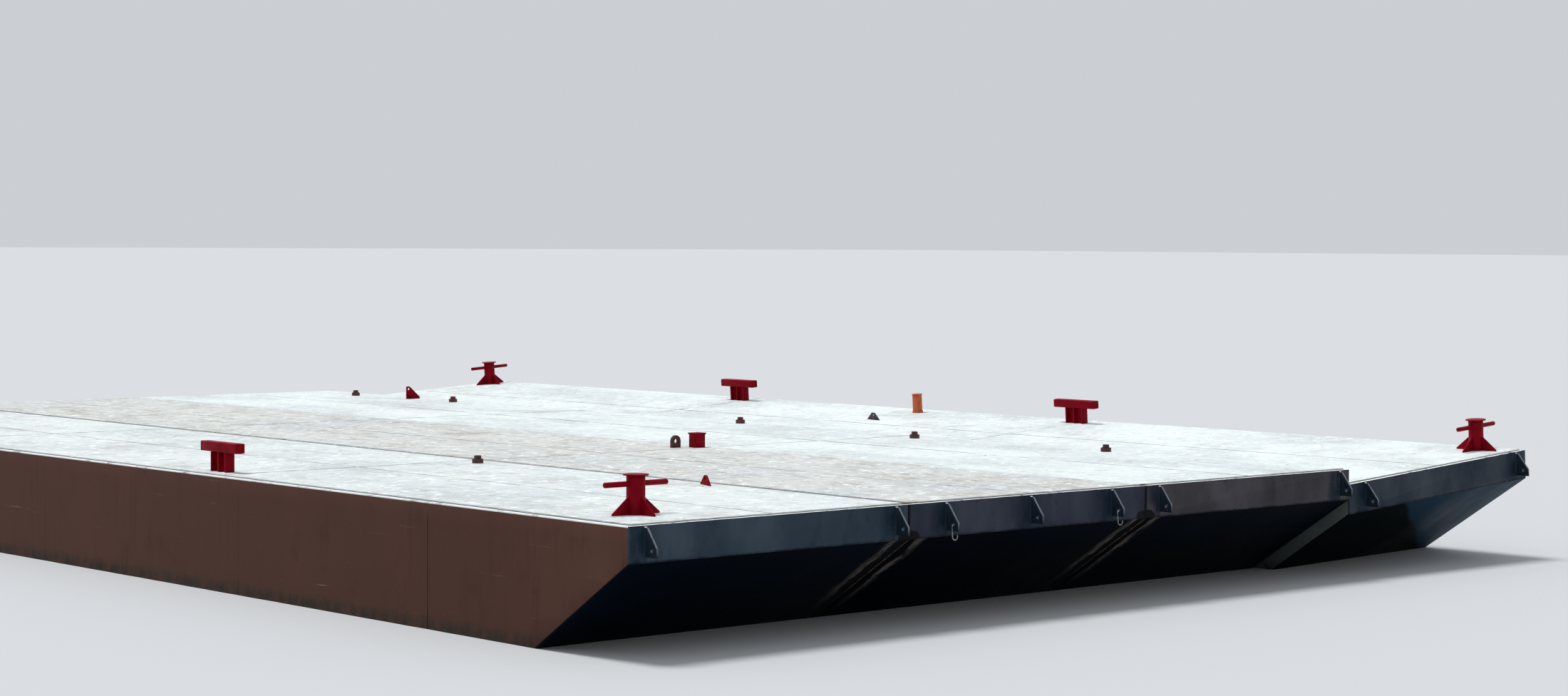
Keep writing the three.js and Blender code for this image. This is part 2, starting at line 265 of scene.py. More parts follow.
def hull_finish(number):
    """Primer with rust and scrapes, the pale margin, black joint channels and the wet foot."""
    material, tree, shader = new_finish(f"brown_primer_{number}", 0.62, shine=0.1)
    points = own_frame(tree, number)
    level = along(tree, tree.nodes.new("ShaderNodeTexCoord").outputs["Object"], "Z")
    depth = along(tree, points, "Z")

    patches = grain(tree, points, (1, 1, 0.35), 0.55, 5, 0.6, number)
    colour = over(tree, fade(tree, patches, 0.35, 0.75, 0, 0.5),
                  display(*PRIMER[number]), display(*PRIMER_PALE[number]))
    cloud = grain(tree, points, (1, 1, 1), 2.3, 8, 0.7, number + 3)
    colour = over(tree, fade(tree, cloud, 0.5, 0.8, 0, 0.55), colour, display(*RUST_DARK))
    runs = grain(tree, points, (1, 9, 0.5), 1.4, 5, 0.6, number + 5)
    colour = over(tree, fade(tree, runs, 0.56, 0.75, 0, 0.4), colour, display(*RUST_DARK))
    scrapes = grain(tree, points, (1, 0.35, 16), 2.2, 6, 0.75, number + 7)
    colour = over(tree, fade(tree, scrapes, 0.64, 0.74, 0, 0.55), colour, display(*SCRAPE))
    spots = grain(tree, points, (1, 1, 1), 13, 3, 0.5, number + 9)
    colour = over(tree, fade(tree, spots, 0.69, 0.76, 0, 0.8), colour, display(*RUST))

    edge = fade(tree, depth, -MARGIN_DROP, -MARGIN_DROP / 2)
    chips = fade(tree, grain(tree, points, (1, 1, 1), 4, 6, 0.75, number), 0.36, 0.5, 0.35, 0.9)
    colour = over(tree, times(tree, edge, chips), colour, display(*MARGIN_PALE))
    channel = fade(tree, from_joint(tree, points, number), DECK_INSET + 0.02, DECK_INSET, 0, 0.9)
    colour = over(tree, channel, colour, display(*BURNT))
    splash = fade(tree, level, WATERLINE + SPLASH_REACH, WATERLINE + 0.03)
    ragged = fade(tree, grain(tree, points, (1, 2, 1), 3, 5, 0.7), 0.3, 0.62)
    colour = over(tree, times(tree, splash, ragged), colour, display(*WET))
    colour = over(tree, fade(tree, level, WATERLINE + 0.02, WATERLINE - 0.01, 0, 0.9),
                  colour, display(*WET))
    tree.links.new(colour, shader.inputs["Base Color"])
    tree.links.new(fade(tree, patches, 0.3, 0.8, 0.5, 0.72), shader.inputs["Roughness"])

    dents = grain(tree, points, (1, 1, 1), 1.4, 3, 0.5, number + 2)
    relief(tree, shader, dents, 0.012, 0.4)
    return material


def pick(piece):
    """Selects one object alone and makes it the active one."""
    bpy.ops.object.select_all(action="DESELECT")
    piece.select_set(True)
    bpy.context.view_layer.objects.active = piece


def smooth(piece, angle=35):
    """Shades a piece smooth, except over edges sharper than the angle in degrees."""
    pick(piece)
    bpy.ops.object.shade_smooth_by_angle(angle=math.radians(angle))


def ease_edges(piece, width, segments=2):
    """Rounds every sharp edge, as on rolled and dressed plate."""
    pick(piece)
    bevel = piece.modifiers.new("eased", "BEVEL")
    bevel.width = width
    bevel.segments = segments
    bevel.limit_method = "ANGLE"
    bevel.angle_limit = math.radians(25)
    bpy.ops.object.modifier_apply(modifier=bevel.name)
    smooth(piece)


def merged_copy(node, name):
    """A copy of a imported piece, its loose triangles joined and its flat faces made whole."""
    piece = bpy.data.objects.new(name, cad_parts[node].data.copy())
    bpy.context.scene.collection.objects.link(piece)
    pick(piece)
    bpy.ops.object.mode_set(mode="EDIT")
    bpy.ops.mesh.select_all(action="SELECT")
    bpy.ops.mesh.remove_doubles(threshold=MERGE)
    bpy.ops.mesh.dissolve_limited(angle_limit=math.radians(0.5))
    bpy.ops.object.mode_set(mode="OBJECT")
    bpy.ops.mesh.customdata_custom_splitnormals_clear()
    return piece


def fit_out(piece, material, slot, *nodes, body="barge"):
    """Gives a finished piece its paint, the body it rides on and the nodes it stands for."""
    piece.data.materials.clear()
    piece.data.materials.append(material)
    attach(piece, body)
    if nodes:
        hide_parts(*nodes)
    return piece


def draw_in_between_frames(piece, number, side, way):
    """Cuts the side plating at its frames and half-way, and draws the middles in, as old plate
    is, by a little more or less from bay to bay."""
    place = section_frame(number)
    half = FRAME_SPACING / 2
    across = place.to_3x3()
    pick(piece)
    bpy.ops.object.mode_set(mode="EDIT")
    for normal, stations in (
        ((0, 1, 0), [half * step for step in range(1, round(LENGTH / half))]),
        ((0, 0, 1), DISH_LEVELS),
    ):
        for station in stations:
            bpy.ops.mesh.select_all(action="SELECT")
            bpy.ops.mesh.bisect(plane_co=place @ (Vector(normal) * station),
                                plane_no=across @ Vector(normal))
    bpy.ops.object.mode_set(mode="OBJECT")
    inverse = place.inverted()
    for vertex in piece.data.vertices:
        point = inverse @ vertex.co
        bay = round(point.y / half)
        if abs(point.x - side) > CLOSE or abs(point.y - bay * half) > CLOSE or bay % 2 == 0:
            continue
        if any(abs(point.z - level) < CLOSE for level in DISH_LEVELS):
            depth = PLATE_DISH * (0.7 + 0.3 * math.sin(bay * 2.3))
            vertex.co -= across @ Vector((way * depth, 0, 0))


hull_paint = {}
for number in SECTIONS:
    hull_paint[number] = hull_finish(number)
    shell = merged_copy(f"section_{number}_hull", f"hull_plating_{number}")
    if number in OUTER_SIDES:
        draw_in_between_frames(shell, number, *OUTER_SIDES[number])
    ease_edges(shell, SHELL_EDGE)
    fit_out(shell, hull_paint[number], "primer_brown", f"section_{number}_hull")

# Headlogs and their end lugs
# An upright 20 mm plate across each end, in dark blue-grey paint, with triangular lugs welded
# square to it. The lugs' cheeks are dark and their cut edges worn pale. The plate carries painted
# shade on each lug's left, and is sooty at the foot of each welded joint.
HEADLOG = {1: (45, 58, 71), 2: (40, 45, 58), 3: (58, 56, 60), 4: (38, 47, 59)}
HEADLOG_PALE = {1: (64, 76, 88), 2: (60, 64, 76), 3: (80, 76, 82), 4: (64, 70, 78)}
HEADLOG_DARK = (24, 32, 42)
# painted shade, dark blue-grey, on the headlog just left of each lug
HEADLOG_PAINTED_SHADE = (15, 33, 46)
LUG_SLATE = (20, 31, 42)
LUG_EDGE_PALE = (112, 118, 126)
LUG_ROOT = 0.004                   # beyond the headlog's face the steel is a lug's
LUGS = {1: (0.160, 2.900), 2: (0.450, 1.510, 2.580), 3: (0.190, 2.900), 4: (0.270, 2.880)}
LUG_PLATE = 0.020
LUG_TOP = 0.018                    # below the deck edge
LUG_BOTTOM = 0.250
LUG_FILLET = 0.009
FILLET_SINK = 0.001                # how far a fillet reaches into the headlog
PLATE_EDGE = 0.003
FILLET_EDGE = 0.0015
PAINTED_SHADE_REACH = 0.24                 # how far the painted shade runs on a lug's left
PAINTED_SHADE_END = 0.03                   # and on its right
JOINT_LINE = (0.022, 0.008)        # the plate blackens between these distances from a joint
FOOT_LINE = (0.022 - HEADLOG_HEIGHT, 0.006 - HEADLOG_HEIGHT)  # and between these levels
SOOT_REACH = 0.18                  # soot from cutting and welding
SOOT_TOP = 0.11
ENDS = (("near", 0.0, -1), ("far", LENGTH, 1))  # each end's face, and which way is out


def facing(tree, axis):
    """How far the surface faces along X, Y or Z, from -1 to 1."""
    return along(tree, tree.nodes.new("ShaderNodeNewGeometry").outputs["Normal"], axis)


def headlog_finish(number):
    """Paint for a headlog and its lugs: the steel beyond LUG_ROOT gets the lugs' colours."""
    material, tree, shader = new_finish(f"headlog_paint_{number}", 0.5, shine=0.1)
    points = own_frame(tree, number)
    across = along(tree, points, "X")
    length = along(tree, points, "Y")
    depth = along(tree, points, "Z")

    wash = grain(tree, points, (1, 1, 0.5), 1.6, 4, 0.55, number)
    colour = over(tree, fade(tree, wash, 0.38, 0.68, 0, 0.9),
                  display(*HEADLOG[number]), display(*HEADLOG_PALE[number]))
    marks = grain(tree, points, (1, 1, 0.6), 4.5, 6, 0.65, number + 2)
    colour = over(tree, fade(tree, marks, 0.52, 0.74, 0, 0.5), colour, display(*HEADLOG_DARK))
    scuffs = grain(tree, points, (1, 1, 2.5), 9, 6, 0.7, number + 4)
    colour = over(tree, fade(tree, scuffs, 0.6, 0.75, 0, 0.35), colour,
                  display(*HEADLOG_PALE[number]))
    ragged = fade(tree, grain(tree, points, (1, 1, 0.7), 5, 5, 0.65, number + 6), 0.3, 0.6)
    # Painted shade on the plate just left of each lug, darkest next to the lug.
    for x in LUGS[number]:
        rise = fade(tree, across, x - PAINTED_SHADE_REACH, x - PAINTED_SHADE_REACH * 0.4)
        beside = times(tree, rise, fade(tree, across, x + PAINTED_SHADE_END, x, 0, 0.85))
        colour = over(tree, times(tree, beside, ragged), colour, display(*HEADLOG_PAINTED_SHADE))
    gap = from_joint(tree, points, number)
    colour = over(tree, fade(tree, gap, *JOINT_LINE, 0, 0.9), colour, display(*BURNT))
    soot = times(tree, fade(tree, gap, SOOT_REACH, 0.02),
                 fade(tree, depth, SOOT_TOP - HEADLOG_HEIGHT, 0.01 - HEADLOG_HEIGHT))
    smoke = grain(tree, points, (1, 1, 0.6), 14, 6, 0.75, number)
    soot = fade(tree, times(tree, soot, smoke), 0.09, 0.17)
    colour = over(tree, soot, colour, display(*BURNT))
    foot = times(tree, fade(tree, depth, *FOOT_LINE, 0, 0.8), ragged)
    colour = over(tree, foot, colour, display(*BURNT))

    outward = add(tree, "Math", length, LENGTH / 2, operation="SUBTRACT")
    reach = add(tree, "Math", outward, operation="ABSOLUTE")
    lug = fade(tree, reach, LENGTH / 2 + LUG_ROOT, LENGTH / 2 + LUG_ROOT * 3)
    up = facing(tree, "Z")
    sideways = add(tree, "Math", facing(tree, "X"), operation="ABSOLUTE")
    worn = times(tree, fade(tree, sideways, 0.7, 0.4), fade(tree, up, -0.2, 0.1, 0, 0.9))
    cheek = over(tree, fade(tree, marks, 0.4, 0.7), display(*LUG_SLATE), display(*HEADLOG_DARK))
    cheek = over(tree, times(tree, worn, fade(tree, scuffs, 0.3, 0.55, 0.5, 1)), cheek,
                 display(*LUG_EDGE_PALE))
    chips = fade(tree, grain(tree, points, (1, 1, 1), 8, 5, 0.7, number), 0.34, 0.46)
    colour = over(tree, times(tree, fade(tree, up, 0.4, 0.8), chips), colour,
                  display(*MARGIN_PALE))
    colour = over(tree, lug, colour, cheek)
    tree.links.new(colour, shader.inputs["Base Color"])
    tree.links.new(fade(tree, marks, 0.3, 0.7, 0.5, 0.7), shader.inputs["Roughness"])
    relief(tree, shader, grain(tree, points, (1, 1, 1), 3.0, 5, 0.6, number), 0.006, 0.4)
    return material


def bevel_block(low, high, outward, leg):
    """A weld fillet round a rectangular foot: a block whose face along outward is drawn in."""
    centre = (low + high) / 2
    grown = high - low + Vector([0 if outward[axis] else 2 * leg for axis in range(3)])
    bpy.ops.object.select_all(action="DESELECT")
    bpy.ops.mesh.primitive_cube_add(size=1, location=centre, scale=grown)
    piece = bpy.context.object
    bpy.ops.object.transform_apply(location=True, rotation=True, scale=True)
    draw_in = [1 if outward[axis] else (high - low)[axis] / grown[axis] for axis in range(3)]
    bpy.ops.object.mode_set(mode="EDIT")
    bpy.ops.mesh.select_mode(type="FACE")
    bpy.ops.mesh.select_all(action="DESELECT")
    bpy.ops.object.mode_set(mode="OBJECT")
    for face in piece.data.polygons:
        face.select = face.normal.dot(Vector(outward)) > 0.9
    bpy.ops.object.mode_set(mode="EDIT")
    bpy.ops.transform.resize(value=draw_in)
    bpy.ops.object.mode_set(mode="OBJECT")
    return piece


def join_up(pieces, name):
    """Makes several meshes one piece."""
    bpy.ops.object.select_all(action="DESELECT")
    for piece in pieces:
        piece.select_set(True)
    bpy.context.view_layer.objects.active = pieces[0]
    if len(pieces) > 1:
        bpy.ops.object.join()
    pieces[0].name = name
    return pieces[0]


def settle(piece, number):
    """Moves a piece that was made in a section's own frame to its place, baked in its mesh."""
    pick(piece)
    piece.matrix_world = section_frame(number) @ piece.matrix_world
    bpy.ops.object.transform_apply(location=True, rotation=True, scale=True)
    return piece


for number in SECTIONS:
    headlog_paint = headlog_finish(number)
    for end, face, way in ENDS:
        node = f"section_{number}_{end}_headlog"
        headlog = merged_copy(node, f"headlog_{end}_{number}")
        ease_edges(headlog, PLATE_EDGE)
        fit_out(headlog, headlog_paint, "headlog_grey", node)
        fillets = []
        for x in LUGS[number]:
            root = sorted((face - way * FILLET_SINK, face + way * LUG_FILLET))
            fillets.append(bevel_block(Vector((x - LUG_PLATE / 2, root[0], -LUG_BOTTOM)),
                                       Vector((x + LUG_PLATE / 2, root[1], -LUG_TOP)),
                                       (0, way, 0), LUG_FILLET))
        weld = settle(join_up(fillets, f"lug_welds_{end}_{number}"), number)
        ease_edges(weld, FILLET_EDGE)
        fit_out(weld, headlog_paint, "headlog_grey")

# Rake plating
# The sloping bow and stern plates, in near-black bottom coating, slate on the fourth section.
# Beside the joints of the three sections that are welded up, the steel is burnt black with a
# ragged bare band beyond. The fourth's slate carries a painted shadow on a slant towards the third.
RAKE = {1: (1, 9, 19), 2: (0, 5, 13), 3: (5, 12, 19), 4: (22, 48, 66)}
RAKE_PALE = {1: (6, 16, 25), 2: (5, 12, 21), 3: (13, 20, 27), 4: (32, 58, 76)}
RAKE_RUNS = {1: 0.4, 2: 0.4, 3: 0.4, 4: 0.3}
PAINTED_SHADOW_RAKE = (3, 10, 13)           # painted shadow on the listing section's rake, towards the third section
SHADOW_EDGE_TOP = 0.95                  # where the painted shadow ends at the top of the rake
SHADOW_SLANT = 2.40                 # how much wider it grows for each metre down
SHADOW_WANDER = 0.3                 # how much its edge wanders
SHADOW_BLUR = 0.05
BARE_BAND = (92, 86, 80)
BURNT_STRIP = (0.12, 0.08)         # the steel blackens between these distances from a joint
BAND_START = (0.10, 0.135)         # the bare band begins between these
BAND_STOP = (0.24, 0.14)           # and ends between these
BAND_WANDER = 0.16                 # how far the burnt strip and the band wander
BAND_LEVELS = (-1.08, -0.6)        # the band fades out between these levels
SCUM_REACH = 0.14                  # how far above the waterline the coating is fouled


def rake_finish(number):
    """Bottom coating, burnt and bare beside the welded joints, fouled at the waterline, and painted
    shadow on the listing section.
    """
    material, tree, shader = new_finish(f"bottom_coating_{number}", 0.5, shine=0.02)
    points = own_frame(tree, number)
    level = along(tree, tree.nodes.new("ShaderNodeTexCoord").outputs["Object"], "Z")
    wash = grain(tree, points, (1, 0.6, 0.6), 1.1, 6, 0.65, number)
    colour = over(tree, fade(tree, wash, 0.45, 0.8), display(*RAKE[number]),
                  display(*RAKE_PALE[number]))
    runs = grain(tree, points, (14, 0.7, 0.7), 1.0, 4, 0.6, number + 3)
    colour = over(tree, fade(tree, runs, 0.55, 0.75, 0, RAKE_RUNS[number]), colour,
                  display(*RAKE_PALE[number]))
    depth = along(tree, points, "Z")
    # Painted shadow: the listing section's rake goes dark on a slant towards the third section.
    if number == LISTING:
        slant = add(tree, "Math", depth, SHADOW_SLANT, operation="MULTIPLY")
        shadow_drift = add(tree, "Math", along(tree, points, "X"), slant, operation="ADD")
        shadow_drift = add(tree, "Math", shadow_drift, times(tree, wash, SHADOW_WANDER), operation="ADD")
        edge = SHADOW_EDGE_TOP - HEADLOG_HEIGHT * SHADOW_SLANT + SHADOW_WANDER * 0.4
        colour = over(tree, fade(tree, shadow_drift, edge + SHADOW_BLUR, edge - SHADOW_BLUR), colour,
                      display(*PAINTED_SHADOW_RAKE))
    wander = times(tree, grain(tree, points, (1, 1, 1), 3.5, 4, 0.6, number + 8), BAND_WANDER)
    gap = add(tree, "Math", from_joint(tree, points, number), wander, operation="ADD")
    gap = add(tree, "Math", gap, BAND_WANDER / 2, operation="SUBTRACT")
    ragged = fade(tree, grain(tree, points, (3, 1, 1), 6, 6, 0.75), 0.36, 0.56)
    band = times(tree, fade(tree, gap, *BAND_START), fade(tree, gap, *BAND_STOP))
    colour = over(tree, times(tree, times(tree, band, fade(tree, depth, *BAND_LEVELS)), ragged),
                  colour, display(*BARE_BAND))
    colour = over(tree, fade(tree, gap, *BURNT_STRIP, 0, 0.8), colour, display(*BURNT))
    scum = times(tree, fade(tree, level, WATERLINE + SCUM_REACH, WATERLINE + 0.02),
                 fade(tree, grain(tree, points, (1, 1, 1), 7, 5, 0.7), 0.35, 0.7, 0, 0.25))
    colour = over(tree, scum, colour, display(*WET))
    tree.links.new(colour, shader.inputs["Base Color"])
    tree.links.new(fade(tree, wash, 0.3, 0.8, 0.42, 0.66), shader.inputs["Roughness"])
    relief(tree, shader, grain(tree, points, (1, 1, 1), 1.6, 4, 0.6, number), 0.010, 0.5)
    return material


for number in SECTIONS:
    rake_paint = rake_finish(number)
    for end in ("near", "far"):
        node = f"section_{number}_{end}_rake_plate"
        plate = merged_copy(node, f"rake_plating_{end}_{number}")
        ease_edges(plate, PLATE_EDGE)
        fit_out(plate, rake_paint, "rake_black", node)

# Deck plates
# 12 mm plate in pale non-slip paint, laid over each section and fillet welded all round. It is
# chalky and walked on, mottled and streaked with dirt, worst on the second section, and marked
# on a slant where loads were dragged over it. Its edges, fillet and bead sides carry painted shade.
DECK = {1: (206, 213, 212), 2: (193, 196, 192), 3: (211, 219, 218), 4: (214, 222, 221)}
DECK_DIRT = (138, 132, 124)
DECK_SHADE = (178, 184, 186)
DECK_TAN = (162, 154, 144)
DECK_CHALK = (240, 244, 244)
# painted shade for the deck plate's edges, its fillet and the sides of its beads
DECK_EDGE_SHADE = (44, 42, 42)
DRAG_MARK = (84, 80, 78)
DRAG_ANGLE = math.radians(42)
DIRT_SHARE = {1: 0.45, 2: 0.8, 3: 0.35, 4: 0.3}
DECK_SEAMS = (LENGTH / 3, LENGTH * 2 / 3)
DECK_FILLET = 0.010
FILLET_LEVELS = (0.0002, DECK_TOP - 0.002)  # foot and top of the fillet round the plate
DECK_BEAD = (0.016, 0.003)         # width and height
DECK_BEAD_END = 0.01               # how far a seam's ends stay inside the plate's edges
BEAD_STEP = 0.09                   # length of a weld between two rings of points
BEAD_STEPS = (4, 100)              # fewest and most of them in one run
BEAD_UNEVEN = 0.35                 # as a share of its height
BEAD_ANGLE = 50                    # degrees: a bead's sharper edges stay sharp


def deck_finish(number):
    """Deck paint with its stains, streaks, chalk and marks, and painted shade where faces turn from
    up.
    """
    material, tree, shader = new_finish(f"deck_paint_{number}", 0.7, shine=0.3)
    points = own_frame(tree, number)
    dirt = DIRT_SHARE[number]
    broad = grain(tree, points, (1, 0.6, 1), 0.9, 6, 0.6, number)
    colour = over(tree, fade(tree, broad, 0.38, 0.72, 0, 0.75),
                  display(*DECK[number]), display(*DECK_SHADE))
    stains = grain(tree, points, (1, 0.8, 1), 1.7, 8, 0.7, number + 10)
    colour = over(tree, fade(tree, stains, 0.5, 0.68, 0, dirt), colour, display(*DECK_TAN))
    streaks = grain(tree, points, (6, 0.25, 1), 1.6, 7, 0.7, number + 2)
    colour = over(tree, fade(tree, streaks, 0.54, 0.78, 0, dirt), colour, display(*DECK_DIRT))
    fine = grain(tree, points, (1, 1, 1), 6, 8, 0.75, number + 4)
    colour = over(tree, fade(tree, fine, 0.5, 0.68, 0, dirt), colour, display(*DECK_DIRT))
    chalk = grain(tree, points, (1, 1, 1), 9, 7, 0.75, number + 12)
    colour = over(tree, fade(tree, chalk, 0.52, 0.66, 0, 0.8), colour, display(*DECK_CHALK))
    turned = add(tree, "Mapping", points, (0, 0, 0), (0, 0, DRAG_ANGLE))
    drags = grain(tree, turned, (0.5, 7, 1), 2.2, 4, 0.55, number + 14)
    colour = over(tree, fade(tree, drags, 0.69, 0.74, 0, 0.7), colour, display(*DRAG_MARK))
    scars = grain(tree, points, (1.2, 1, 1), 16, 3, 0.5, number + 6)
    colour = over(tree, fade(tree, scars, 0.69, 0.75, 0, 0.75), colour, display(*RUST_DARK))
    spots = grain(tree, points, (1, 1, 1), 5, 3, 0.5, number + 8)
    colour = over(tree, fade(tree, spots, 0.71, 0.79, 0, 0.6), colour, display(*RUST))
    # Painted shade: faces that turn away from up, the plate's edges, fillet and bead sides, go
    # dark.
    colour = over(tree, fade(tree, facing(tree, "Z"), 0.97, 0.8, 0, 0.9), colour,
                  display(*DECK_EDGE_SHADE))
    tree.links.new(colour, shader.inputs["Base Color"])
    tree.links.new(fade(tree, fine, 0.3, 0.7, 0.62, 0.85), shader.inputs["Roughness"])
    sand = grain(tree, points, (1, 1, 1), 120, 2, 0.5)
    buckle = grain(tree, points, (1, 1, 1), 0.8, 2, 0.4, number)
    height = add(tree, "Math", times(tree, sand, 0.05), buckle, operation="ADD")
    relief(tree, shader, height, 0.012, 0.5)
    return material


def bead_run(start, end, up, width, height, seed):
    """A run of weld from start to end: a flattened rod, half sunk, uneven along its length."""
    run = end - start
    fewest, most = BEAD_STEPS
    cuts = max(fewest, min(most, round(run.length / BEAD_STEP)))
    bpy.ops.object.select_all(action="DESELECT")
    bpy.ops.mesh.primitive_cylinder_add(vertices=8, radius=1, depth=run.length)
    piece = bpy.context.object
    bpy.ops.object.mode_set(mode="EDIT")
    bpy.ops.mesh.select_mode(type="EDGE")
    bpy.ops.mesh.select_all(action="DESELECT")
    bpy.ops.object.mode_set(mode="OBJECT")
    corners = piece.data.vertices
    for edge in piece.data.edges:
        first, second = edge.vertices
        edge.select = abs(corners[first].co.z - corners[second].co.z) > run.length / 2
    bpy.ops.object.mode_set(mode="EDIT")
    bpy.ops.mesh.subdivide(number_cuts=cuts)
    bpy.ops.object.mode_set(mode="OBJECT")
    ahead = run.normalized()
    side = up.cross(ahead).normalized()
    axes = Matrix((side * width / 2, up.normalized() * height, ahead)).transposed()
    piece.matrix_world = Matrix.Translation((start + end) / 2) @ axes.to_4x4()
    bpy.ops.object.transform_apply(location=True, rotation=True, scale=True)
    bpy.ops.object.mode_set(mode="EDIT")
    bpy.ops.mesh.select_all(action="SELECT")
    bpy.ops.transform.vertex_random(offset=height * BEAD_UNEVEN, normal=1, seed=seed)
    bpy.ops.object.mode_set(mode="OBJECT")
    return piece


UP = Vector((0, 0, 1))
deck_paint = {}
for number in SECTIONS:
    deck_paint[number] = deck_finish(number)
    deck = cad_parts[f"section_{number}_deck_plate"]
    deck.data.materials.clear()
    deck.data.materials.append(deck_paint[number])
    low, high = section_box(f"section_{number}_deck_plate", number)
    margin = bevel_block(Vector((low.x, low.y, FILLET_LEVELS[0])),
                         Vector((high.x, high.y, FILLET_LEVELS[1])), (0, 0, 1), DECK_FILLET)
    seams = [bead_run(Vector((low.x + DECK_BEAD_END, y, DECK_TOP)),
                      Vector((high.x - DECK_BEAD_END, y, DECK_TOP)),
                      UP, *DECK_BEAD, number * 10 + count)
             for count, y in enumerate(DECK_SEAMS)]
    middle = (low.x + high.x) / 2
    seams.append(bead_run(Vector((middle, low.y + DECK_BEAD_END, DECK_TOP)),
                          Vector((middle, high.y - DECK_BEAD_END, DECK_TOP)),
                          UP, *DECK_BEAD, number))
    welds = settle(join_up([margin, *seams], f"deck_welds_{number}"), number)
    smooth(welds, BEAD_ANGLE)
    fit_out(welds, deck_paint[number], "deck_white")

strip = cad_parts["seam_2_3_cover_strip"]
strip.data.materials.clear()
strip.data.materials.append(deck_paint[3])

# Welds of the shell
# Upright butt welds of the outer sides' plating, about every 3 m and half-way between two
# frames, and the runs that close the joints of the welded sections across the headlogs and
# down both rakes.
SIDE_SEAMS = [FRAME_SPACING * bay for bay in (4.5, 9.5, 14.5, 20.5, 25.5)]
SEAM_SINK = 0.0035                 # the plating is drawn in there, and its seams with it
SIDE_BEAD = (0.012, 0.0014)        # width and height
SIDE_BEAD_END = 0.05               # how far a seam stays from the deck edge and the bottom
DEPTH = 1.829
JOINTS = (1, 2)                    # the sections whose right side is welded to the next
JOINT_BEAD = (0.022, 0.004)
JOINT_TOP = -0.01                  # the level at which its run starts
BEAD_BROWN = (88, 76, 66)
BEAD_DARK = (30, 27, 25)


def joint_weld_finish():
    """The bead is black across the headlogs and dull brown down the upper half of the rakes."""
    material, tree, shader = new_finish("joint_weld_metal", 0.6, shine=0.1)
    points = own_frame(tree, 1)
    patchy = grain(tree, points, (1, 1, 1), 22, 5, 0.65)
    colour = over(tree, fade(tree, patchy, 0.4, 0.62), display(*BEAD_BROWN), display(*BEAD_DARK))
    depth = along(tree, points, "Z")
    headlog = fade(tree, depth, -HEADLOG_HEIGHT - 0.02, -HEADLOG_HEIGHT)
    foot = fade(tree, depth, *reversed(BAND_LEVELS))
    colour = over(tree, headlog, colour, display(*BURNT))
    colour = over(tree, foot, colour, display(*RAKE_PALE[2]))
    tree.links.new(colour, shader.inputs["Base Color"])
    relief(tree, shader, grain(tree, points, (1, 1, 3), 60, 3, 0.6), 0.002, 0.6)
    return material


for number, (x, way) in OUTER_SIDES.items():
    sunk = x - way * SEAM_SINK
    runs = [bead_run(Vector((sunk, y, -SIDE_BEAD_END)), Vector((sunk, y, -DEPTH + SIDE_BEAD_END)),
                     Vector((way, 0, 0)), *SIDE_BEAD, number * 7 + count)
            for count, y in enumerate(SIDE_SEAMS)]
    seams = settle(join_up(runs, f"side_welds_{number}"), number)
    smooth(seams, BEAD_ANGLE)
    fit_out(seams, hull_paint[number], "primer_brown")

weld_metal = joint_weld_finish()
rake_run = (DEPTH - HEADLOG_HEIGHT) / math.tan(RAKE_ANGLE)
for number in JOINTS:
    x = WIDTH + (PITCH - WIDTH) / 2
    runs = []
    for _, face, way in ENDS:
        outward = Vector((0, way, 0))
        slope = Vector((0, way * math.sin(RAKE_ANGLE), -math.cos(RAKE_ANGLE)))
        runs.append(bead_run(Vector((x, face, JOINT_TOP)), Vector((x, face, -HEADLOG_HEIGHT)),
                             outward, *JOINT_BEAD, number))
        runs.append(bead_run(Vector((x, face, -HEADLOG_HEIGHT)),
                             Vector((x, face - way * rake_run, -DEPTH)),
                             slope, *JOINT_BEAD, number + 3))
    joint = settle(join_up(runs, f"joint_welds_{number}"), number)
    smooth(joint, BEAD_ANGLE)
    fit_out(joint, weld_metal, "rake_black")

# Corner mooring posts
# A pipe with a welded cap plate, four gussets and a cross pin, in deep red paint that ropes
# have rubbed. Each stands on the deck plate in a run of weld.
RED = (128, 1, 22)
RED_DARK = (84, 1, 12)
RED_RUBBED = (104, 36, 38)
POST_RADIUS = 0.078
CAP_RADIUS = 0.106
CAP_PLATE = 0.012
POST_FILLET = 0.010
POST_EDGE = 0.0025
PIN_RADIUS = 0.023
PIN_EDGE = 0.005
GUSSET_REACH = 0.248
GUSSET_HEIGHT = 0.150
GUSSET_PLATE = 0.012
GUSSET_TOE = 0.014
GUSSET_ROOT = 0.02                 # where its inner edge stands, inside the pipe
GUSSET_FILLET = 0.007
GUSSET_FILLET_ENDS = (0.05, GUSSET_REACH - 0.008)
GUSSET_FILLET_HEIGHT = 0.008
POSTS = {"near_left": 1, "near_right": 4, "far_left": 1, "far_right": 4}


def red_finish(name, roughness, dark_share):
    """Red paint, darker in patches, rubbed and chipped."""
    material, tree, shader = new_finish(name, roughness, shine=0.05)
    points = tree.nodes.new("ShaderNodeTexCoord").outputs["Object"]
    wash = grain(tree, points, (1, 1, 1), 7, 5, 0.6)
    colour = over(tree, fade(tree, wash, 0.35, 0.75, 0, dark_share),
                  display(*RED), display(*RED_DARK))
    rubs = grain(tree, points, (1, 1, 5), 18, 5, 0.7, 2)
    colour = over(tree, fade(tree, rubs, 0.62, 0.74, 0, 0.35), colour, display(*RED_RUBBED))
    chips = grain(tree, points, (1, 1, 1), 60, 4, 0.6, 4)
    colour = over(tree, fade(tree, chips, 0.68, 0.72, 0, 0.9), colour, display(*RUST_DARK))
    tree.links.new(colour, shader.inputs["Base Color"])
    tree.links.new(fade(tree, wash, 0.3, 0.7, roughness, roughness + 0.25),
                   shader.inputs["Roughness"])
    relief(tree, shader, grain(tree, points, (1, 1, 1), 45, 4, 0.6), 0.0015, 0.4)
    return material


